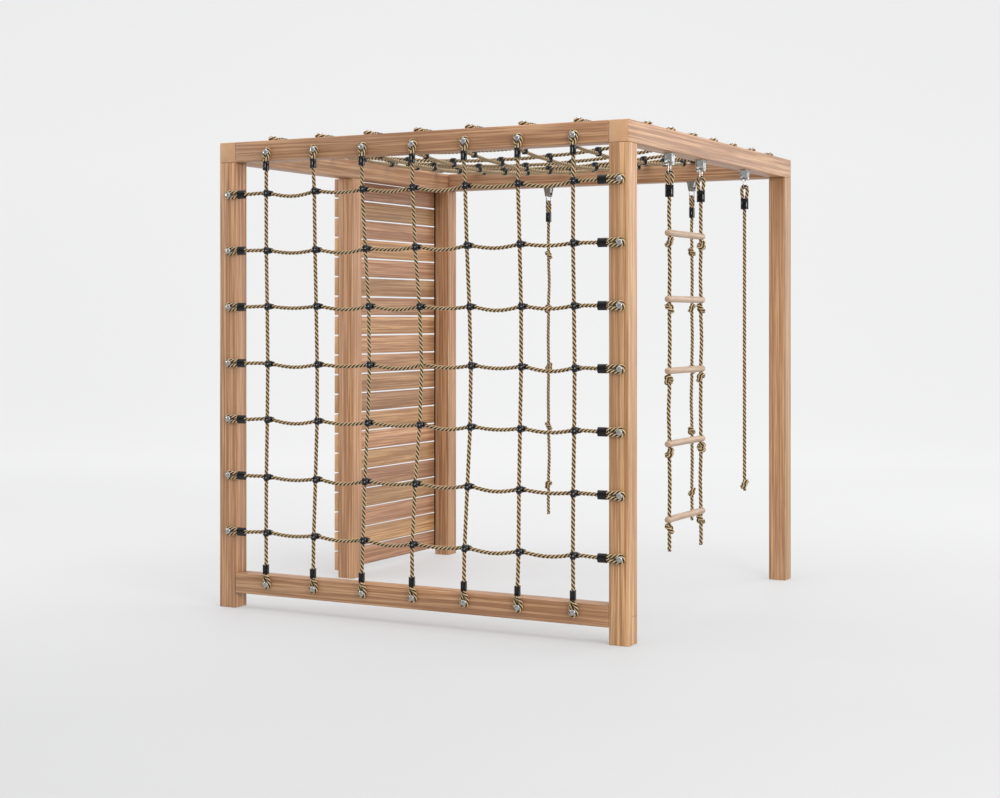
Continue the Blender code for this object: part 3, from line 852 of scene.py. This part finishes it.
def build_frame_screws():
    """The countersunk screws through the right side into the front beam and the sill."""
    head = turned([(0.0020, -0.002), (0.0034, -0.0001), (0.0034, 0.0003), (0.0022, 0.0006)], 16)
    parts = []
    for y, z in ((-0.966, 2.045), (-0.933, 2.045), (-0.958, 0.114), (-0.933, 0.112)):
        parts.append(placed(head, basis(at(WIDTH / 2, y, z), (0, 0, 1), (1, 0, 0))))
    add_joined("frame_screws", parts, DARK_STEEL, "frame", 30)


def build_painted_shade_strip():
    """A near-black strip in the corner between the boards and the back post: painted shade, where
    that corner falls dark.
    """
    inner_x, face_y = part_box("slats_1")[1].x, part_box("post_back_left")[0].y
    low = (inner_x, face_y - 0.0085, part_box("slats_1")[0].z)
    high = (inner_x + 0.0030, face_y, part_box("slats_4")[1].z)
    # Near-black timber colours: painted shade for the crevice between the boards' ends and the post.
    colours = (linear(14, 10, 8), linear(24, 17, 13), linear(30, 22, 17))
    finish = timber_material("painted_shade_strip_timber", 61, 1.0, (0.05, 0.05), colours)
    timber_piece("painted_shade_strip", finish, "z", None, low, high, 0.0006, 1)


def build_slats():
    """The boards of the left side's panel."""
    (_, near, _), (inner_x, far, _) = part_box("slats_1")
    for index in range(SLAT_COUNT):
        pith = (0.040 + 0.09 * abs(wobble(index + 3)), 0.05 * wobble(index * 2 + 1))
        tone = 1.0 + 0.13 * wobble(index * 3 + 5)
        name = f"slat_{index + 1:02d}"
        colours = blended(0.5 + 0.5 * wobble(index * 7 + 2))
        finish = timber_material("board_" + name, index + 21, tone, pith, colours)
        z = SLAT_FIRST_Z + index * SLAT_PITCH
        low, high = (inner_x - SLAT_THICKNESS, near, z), (inner_x, far, z + SLAT_HEIGHT)
        group = f"slats_{index // SLATS_IN_GROUP + 1}"
        timber_piece(name, finish, "y", group, low, high, 0.0022, 2)


# ---------------- nets


def net_lines(middle):
    """Where a net's parallel ropes lie, about their middle."""
    half = (NET_COUNT - 1) / 2
    return [middle + NET_PITCH * (index - half) for index in range(NET_COUNT)]


def swell(x, x_middle, y, y_middle, y_half, powers=(1.0, 1.0)):
    """How far a net bows between its edges, from 0 at them to 1 in its middle. Higher powers draw
    the bow together in the middle."""
    across = max(0.0, 1 - ((x - x_middle) / NET_HALF_SPAN) ** 2)
    along = max(0.0, 1 - ((y - y_middle) / y_half) ** 2)
    return across ** powers[0] * along ** powers[1]


def front_depth(x, z):
    """The Y of a level rope of the front net. The upright ropes pass one step in front of it."""
    bow = swell(x, NET_MIDDLE_X, z, FRONT_MIDDLE_Z, FRONT_HALF_HEIGHT, FRONT_BOW)
    return -DEPTH / 2 - ROPE_LIFT + CROSSING_STEP + FRONT_BILLOW * bow


def roof_drop(x, y):
    """How far the roof net sags."""
    return ROOF_SAG * swell(x, NET_MIDDLE_X, y, ROOF_MIDDLE_Y, NET_HALF_SPAN)


def eye_line(bolt, inward, side, outward, sleeve, stacked):
    """The rope's eye round a bolt, from its tucked end to its way out of the sleeve. inward points
    from the bolt into the net, and sleeve is how far off the sleeve begins. In the sleeve the two
    legs lie side by side, or one over the other when stacked."""
    tuck, main = [(0.0, off) for off in STACKED_LEGS] if stacked else ((-NECK, 0.0), (NECK, 0.0))
    shoulder = 0.0098 if stacked else NECK + 0.0008
    steps = [(tuck[0], tuck[1], sleeve + 0.013), (tuck[0], tuck[1], sleeve + 0.001)]
    steps.append((-shoulder, 0.1 * tuck[1], 0.62 * sleeve))
    steps += [(across, 0.0, up) for across, up in arc(150, 390, 11, EYE_RADIUS)]
    steps.append((shoulder, 0.3 * main[1], 0.62 * sleeve))
    steps += [(main[0], main[1], sleeve + 0.001), (main[0], main[1], sleeve + 0.009)]
    steps.append((0.55 * main[0], 0.65 * main[1], sleeve + 0.022))
    steps.append((0.0, 0.25 * main[1], sleeve + NET_FERRULE - 0.004))
    return [bolt + a * side + b * outward + c * inward for a, b, c in steps]


def crossing(column, row, x, z):
    """A small steady shift of one crossing in the net's own plane."""
    return x + 0.0028 * wobble(column * 5 + row * 3), z + 0.0022 * wobble(column * 2 + row * 7 + 9)


def sagging(start, end, slack):
    """Points between two crossings, with the rope's slack hanging down."""
    points = []
    for share in np.arange(1, 6) / 6:
        drop = slack * math.sin(math.pi * share) ** 1.2
        points.append(start * (1 - share) + end * share - (0, 0, drop))
    return points


def build_net(kind, point_at, families, outward, slack, bare=()):
    """One net: its ropes, sleeves, bolts and connectors.

    families holds the ropes on the net's columns and those on its rows. side points across them,
    the outer ones pass on the far side of the others from the timber, stacked ones have their eyes'
    legs one over the other, and lift is how far off the timber they leave their sleeves. Each of
    their ends holds the name of its bolts' piece, the bolts' places, the way from them into the
    net and how far off the sleeve begins. outward points off the timber, point_at gives an inner
    rope's crossing, and the crossings in bare have no connector."""
    outward = np.array(outward, float)
    sleeves, bolts = {}, {}
    for on_columns, family in zip((True, False), families):
        lift = outward * (CROSSING_STEP if family["outer"] else 0.0)
        stacked, side = family["stacked"], np.array(family["side"], float)
        middle = sum(STACKED_LEGS) / 2 if stacked else 0.0
        for index in range(NET_COUNT):
            pairs = [(index, step) if on_columns else (step, index) for step in range(NET_COUNT)]
            spots = [point_at(*pair) + lift for pair in pairs]
            eyes, exits = [], []
            for group, places, inward, sleeve in family["ends"]:
                bolt, inward = places[index], np.array(inward, float)
                eyes.append(eye_line(bolt, inward, side, outward, sleeve, stacked))
                out = sleeve + NET_FERRULE + 0.010
                exits.append(bolt + inward * out + outward * family["lift"])
                begin = bolt + inward * sleeve + outward * middle
                wide = outward if stacked else side
                sleeves.setdefault(f"{kind}_{family['way']}", []).append((begin, inward, wide))
                bolts.setdefault(group, []).append(bolt)
            route = eyes[0] + [exits[0], spots[0]]
            for step in range(1, NET_COUNT):
                route += sagging(spots[step - 1], spots[step], slack(index, step, on_columns))
                route.append(spots[step])
            route += [exits[1]] + eyes[1][::-1]
            line = softened(even_line(smooth_line(route), 0.004), 3)
            name = f"{kind}_rope_{family['way']}_{index + 1}"
            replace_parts(add_rope(name + "_rope", line, 1.3 * index, "frame"), name)
    count = range(NET_COUNT)
    spots = [point_at(column, row) for column in count for row in count if (column, row) not in bare]
    build_net_fittings(kind, sleeves, bolts, spots, Vector(outward))


def front_net():
    """The upright net on the front."""
    columns, rows = net_lines(NET_MIDDLE_X), net_lines(FRONT_MIDDLE_Z)
    face = -DEPTH / 2 - ROPE_LIFT

    def point_at(column, row):
        x, z = crossing(column, row, columns[column], rows[row])
        return at(x, front_depth(x, z), z)

    def slack(index, step, on_columns):
        swing = 0.35 * math.sin(1.7 * (index + 1) + 2.3 * step)
        return 0.0 if on_columns else ACROSS_SAG * (1 + swing)

    low, high = FRONT_FERRULE_LOW - FRONT_BOLT_LOW, FRONT_BOLT_HIGH - FRONT_FERRULE_HIGH - NET_FERRULE
    up_ends = (
        ("bolts_sill", [at(x, face, FRONT_BOLT_LOW) for x in columns], (0, 0, 1), low),
        ("bolts_front_beam", [at(x, face, FRONT_BOLT_HIGH) for x in columns], (0, 0, -1), high),
    )
    left, right = NET_MIDDLE_X - NET_HALF_SPAN, NET_MIDDLE_X + NET_HALF_SPAN
    low, high = ACROSS_FERRULE_LEFT - left, right - ACROSS_FERRULE_RIGHT
    across_ends = (
        ("bolts_left_post", [at(left, face, z) for z in rows], (1, 0, 0), low),
        ("bolts_right_post", [at(right, face, z) for z in rows], (-1, 0, 0), high),
    )
    up = {"way": "up", "ends": up_ends, "side": (1, 0, 0)}
    up |= {"outer": True, "stacked": True, "lift": 0.0025}
    across = {"way": "across", "ends": across_ends, "side": (0, 0, 1)}
    across |= {"outer": False, "stacked": False, "lift": -0.0035}
    build_net("front", point_at, (up, across), (0, -1, 0), slack, bare=(BARE_CROSSING,))


def roof_net():
    """The level net on the roof."""
    columns, rows = net_lines(NET_MIDDLE_X), net_lines(ROOF_MIDDLE_Y)
    top = HEIGHT + ROPE_LIFT

    def point_at(column, row):
        x, y = crossing(column + 3, row + 5, columns[column], rows[row])
        return at(x, y, top - roof_drop(x, y))

    def slack(*_):
        return 0.003

    bolt = WIDTH / 2 - ROOF_BOLT_INSET
    sleeve = ROOF_EDGE_INSET - ROOF_BOLT_INSET
    along_ends = (
        ("bolts_roof_front", [at(x, -bolt, top) for x in columns], (0, 1, 0), sleeve),
        ("bolts_roof_back", [at(x, bolt, top) for x in columns], (0, -1, 0), sleeve),
    )
    across_ends = (
        ("bolts_roof_left", [at(-bolt, y, top) for y in rows], (1, 0, 0), sleeve),
        ("bolts_roof_right", [at(bolt, y, top) for y in rows], (-1, 0, 0), sleeve),
    )
    along = {"way": "along", "ends": along_ends, "side": (1, 0, 0)}
    along |= {"outer": False, "stacked": False, "lift": 0.0}
    across = {"way": "across", "ends": across_ends, "side": (0, 1, 0)}
    across |= {"outer": True, "stacked": False, "lift": 0.0022}
    build_net("roof", point_at, (along, across), (0, 0, 1), slack)


def build_net_fittings(kind, sleeves, bolts, spots, outward):
    """The sleeves, bolts and connectors of one net, each sort joined into a few pieces."""
    along_x = (1, 0, 0)
    shape = ferrule_shape(NET_FERRULE, *NET_FERRULE_HALF)
    for group, places in sleeves.items():
        parts = [placed(shape, basis(begin, side, inward)) for begin, inward, side in places]
        add_joined(f"sleeves_{group}", parts, PLASTIC, "frame")
    shape, sunk = bolt_shape(), outward * (ROPE_LIFT - GAP)
    for group, places in bolts.items():
        parts = [placed(shape, basis(Vector(place) - sunk, along_x, outward)) for place in places]
        add_joined(group, parts, DULL_STEEL, "frame", 40)
    parts, heads = [], []
    shapes, screws = connector_shapes(kind == "roof"), screw_shapes()
    for spot in spots:
        place = basis(Vector(spot) + outward * CROSSING_STEP, along_x, outward)
        parts += [placed(shape, place) for shape in shapes]
        heads += [placed(screw, place) for screw in screws]
    add_joined(f"connectors_{kind}", parts, PLASTIC, "frame")
    add_joined(f"connector_screws_{kind}", heads, BRIGHT, "frame")


# ---------------- hanging pieces


def eye_leg(way, into):
    """One leg of a hanging rope's eye, from its top to some way into the sleeve, on the side of X
    that way gives as 1 or -1."""
    top = HANG_FERRULE_TOP
    points = [(x, 0, z) for x, z in arc(90, 0, 4, ROPE_EYE_RADIUS)]
    points += [(ROPE_EYE_RADIUS + 0.0006, 0, top * 0.45), (NECK + 0.0003, 0, top + 0.003)]
    points.append((NECK, 0, top - into))
    return [(way * x, y, z) for x, y, z in points]


def hanging_line(bottom, knots, seed, above):
    """The main line of a hanging rope from the top of its eye to its end, in the frame of its link:
    X and Z are the eye's plane and Z counts from the link's wire. knots holds the height of each
    knot, and above is how far over a knot the rope is held straight."""
    top, level = HANG_FERRULE_TOP, HANG_FERRULE_TOP - HANG_FERRULE - 0.004
    leg = eye_leg(1, 0.008) + [(NECK * 0.5, 0, top - 0.022), (0, 0, top - 0.038), (0, 0, level)]
    line = [smooth_line(leg)]
    half = KNOT_LINE[:, 2].max()
    stops = [(height - LINK_Z, True) for height in knots] + [(bottom - LINK_Z, False)]
    for number, (goal, knotted) in enumerate(stops):
        end = goal + (half + above if knotted else 0.0)
        lean = np.array([math.cos(seed * 5 + number * 2.1), math.sin(seed * 5 + number * 2.1), 0])
        steps = max(2, int((level - end) / 0.01))
        for step in range(1, steps + 1):
            share = step / steps
            bow = 0.0035 * math.sin(math.pi * share) ** 2 * min(1.0, (level - end) / 0.25)
            line.append(np.array([[0, 0, level + (end - level) * share]]) + bow * lean)
        if knotted:
            turn = np.array(Matrix.Rotation(seed + 2.2 * number, 3, "Z"))
            line.append(KNOT_LINE[::-1] @ turn.T + np.array([0, 0, goal]))
            level = goal - half
    return softened(even_line(np.vstack(line), 0.003), 2)


def hanging_rope(name, body, place, eye_turn, bottom, knots, seed, above=0.0):
    """A hanging rope with its short leg and sleeve. eye_turn is in degrees."""
    turn = np.array(about("Z", eye_turn))[:3, :3]
    origin = at(*place, LINK_Z)
    line = even_line(hanging_line(bottom, knots, seed, above) @ turn.T + origin, ROPE_RING)
    rope = add_rope(name + "_rope", line, seed, body)
    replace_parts(rope, name)
    leg = smooth_line(eye_leg(-1, 0.012)) @ turn.T + origin
    tuck = add_rope(name + "_tuck", leg, seed + 0.4, body)
    top = origin + np.array([0, 0, HANG_FERRULE_TOP])
    shape = ferrule_shape(HANG_FERRULE, *HANG_FERRULE_HALF)
    parts = [placed(shape, basis(top, turn[:, 0], (0, 0, -1)))]
    sleeve = add_joined(name + "_sleeve", parts, PLASTIC, body)


def build_hangers():
    """The brackets under the beams, each with its oval link."""
    shapes = hanger_shapes()
    hung = [("ladder_front", BEAM_MIDDLE, LADDER_Y[0]), ("ladder_back", BEAM_MIDDLE, LADDER_Y[1])]
    hung.append(("climbing_rope", BEAM_MIDDLE, CLIMBING_ROPE_Y))
    hung += [(f"knotted_rope_{side}", x, BEAM_MIDDLE) for side, x in KNOTTED_ROPE_X.items()]
    for rope, x, y in hung:
        name = f"hanger_{rope}"
        place = Matrix.Translation(Vector(at(x, y, PIN_Z)))
        if rope.startswith("knotted"):
            place = place @ about("Z", 90)
        parts = [placed(shape, place) for shape in shapes]
        made = add_joined(name + "_bracket", parts, STEEL, "frame", 30)
        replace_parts(made, name)
        swings = not rope.startswith("ladder")
        body = f"{rope}_link" if swings else "frame"
        mesh = merged(name + "_link", [placed(wire_loop(link_line(), LINK_WIRE), place)])
        made = add_piece(name + "_oval_link", mesh, STEEL, body)
        if swings:
            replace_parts(made, body)


def rung_mesh():
    """A turned rung along Y with a drilled hole for each side rope."""
    half = RUNG_LENGTH / 2
    tip = [(0.0040, 0.0), (0.0086, 0.0005), (0.0114, 0.0022), (0.0132, 0.0054), (RUNG_RADIUS, 0.0100)]
    profile = [(radius, inset - half) for radius, inset in tip]
    profile += [(RUNG_RADIUS, y) for y in (-0.1, 0.0, 0.1)]
    profile += [(radius, half - inset) for radius, inset in tip[::-1]]
    spread = (LADDER_Y[1] - LADDER_Y[0]) / 2
    hole = turned([(RUNG_HOLE_RADIUS, -0.03), (RUNG_HOLE_RADIUS, 0.03)], 28)
    drills = [placed(hole, Matrix.Translation((0, y, 0))) for y in (-spread, spread)]
    mesh = cut_mesh("rung", placed(turned(profile, 32), about("X", -90)), drills)
    return with_sharp_edges(mesh, 40)


def build_hanging():
    """The rope ladder and the hanging ropes."""
    middle_y = sum(LADDER_Y) / 2
    rung = rung_mesh()
    for number, z in enumerate(RUNG_Z, 1):
        place = at(BEAM_MIDDLE, middle_y, z)
        finish = birch_material(f"birch_{number}", number)
        name = f"rung_{number}_turned"
        made = add_piece(name, rung.copy(), finish, "ladder", place)
        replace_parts(made, f"rung_{number}")
    ladder_knots = [z - (RUNG_RADIUS + 0.001 + KNOT_HALF) for z in RUNG_Z]
    over = 2 * RUNG_RADIUS + 0.004
    for number, (end, y) in enumerate(zip(("front", "back"), LADDER_Y)):
        name, place, seed = f"ladder_rope_{end}", (BEAM_MIDDLE, y), 0.7 + number
        hanging_rope(name, "ladder", place, 0, LADDER_ENDS[number], ladder_knots, seed, over)
    name, place = "climbing_rope", (BEAM_MIDDLE, CLIMBING_ROPE_Y)
    hanging_rope(name, name, place, 0, CLIMBING_ROPE_END, (CLIMBING_ROPE_KNOT,), 0.4)
    for number, side in enumerate(("left", "right")):
        name, place = f"knotted_rope_{side}", (KNOTTED_ROPE_X[side], BEAM_MIDDLE)
        end, seed = KNOTTED_ROPE_END[side], 1.9 + number
        hanging_rope(name, name, place, KNOTTED_EYE_TURN, end, KNOTTED_ROPE_KNOTS, seed)


# ---------------- studio


def build_camera():
    """The view from the front right, held level, with the lens shifted down a little."""
    data = bpy.data.cameras.new("camera")
    data.lens = 61.06
    data.sensor_width = 36.0
    data.shift_y = -0.0808
    camera = in_scene("camera", data)
    camera.location = at(3.696, -7.126, 1.294)
    camera.rotation_euler = (math.pi / 2, 0, VIEW_TURN)
    bpy.context.scene.camera = camera


def build_stage():
    """A pale floor, level with the posts' feet, that curves up into a backdrop behind the object."""
    half_width, bend_y, bend_radius = 45.0, 7.0, 4.0
    profile = [(-half_width, 0.0), (-12.0, 0.0), (bend_y, 0.0)]
    for forward, up in arc(-90, 0, 13, bend_radius)[1:]:
        profile.append((bend_y + forward, bend_radius + up))
    profile.append((bend_y + bend_radius, 12.0))
    points = [(x, y, z) for y, z in profile for x in (-half_width, half_width)]
    faces = [[low, low + 1, low + 3, low + 2] for low in range(0, len(points) - 2, 2)]
    mesh = raw_mesh("studio_floor", points, faces)
    mesh.materials.append(stage_material())
    floor = in_scene("studio_floor", mesh)
    floor.rotation_euler = (0, 0, VIEW_TURN)


def add_light(name, location, target, size, power, colour=(1, 1, 1)):
    data = bpy.data.lights.new(name, "AREA")
    data.shape = "RECTANGLE"
    data.size, data.size_y = size
    data.energy = power
    data.color = colour
    light = in_scene(name, data)
    light.location = location
    aim = Vector(target) - Vector(location)
    light.rotation_euler = aim.to_track_quat("-Z", "Y").to_euler()


def build_world():
    """Soft light from all round, dimmer near the horizon than overhead. Seen straight on, it is as
    pale as the backdrop."""
    s = Shading("studio", "worlds", "Background")
    rise = s.split(s.node("ShaderNodeTexCoord").outputs["Generated"])["Z"]
    seen = s.node("ShaderNodeLightPath").outputs["Is Camera Ray"]
    inputs = {"Factor": seen, "A": s.spread(rise, 0.0, 0.80, 0.24, 1.15), "B": 0.84}
    s.feed(s.shader.inputs["Strength"], s.node("ShaderNodeMix", inputs).outputs["Result"])
    s.feed(s.shader.inputs["Color"], (0.97, 0.98, 1.0))
    bpy.context.scene.world = s.owner


def build_lights():
    add_light("key", (6.7, -4.7, 2.75), (0.3, 0, 1.2), (2.9, 2.5), 310, (1.0, 0.99, 0.975))
    add_light("top", (0.5, -0.5, 6.5), (0, 0, 0), (6.0, 6.0), 250)
    add_light("right_back", (4.9, 5.2, 2.4), (0.8, 0, 1.1), (2.0, 3.5), 110)
    add_light("strip_left", (-4.7, -2.1, 2.3), (0.5, 0, 1.8), (0.5, 1.4), 50)


bpy.context.scene.view_settings.view_transform = "Standard"
build_camera()
ROPE = rope_material()
PLASTIC = plastic_material()
STEEL = steel_material("steel", 0.86, 0.16)
DULL_STEEL = steel_material("dull_steel", 0.80, 0.28)
DARK_STEEL = steel_material("dark_steel", 0.30, 0.35)
BRIGHT = steel_material("bright_steel", 1.08, 0.10)
KNOT_LINE = tight_knot(ROPE_RADIUS)
KNOT_OFF_AXIS = np.hypot(KNOT_LINE[:, 0], KNOT_LINE[:, 1]) > 0.003
KNOT_HALF = float(np.abs(KNOT_LINE[KNOT_OFF_AXIS, 2]).max()) + ROPE_RADIUS
build_hanging()
build_timber()
build_frame_screws()
build_slats()
build_painted_shade_strip()
front_net()
roof_net()
build_hangers()
build_stage()
build_world()
build_lights()
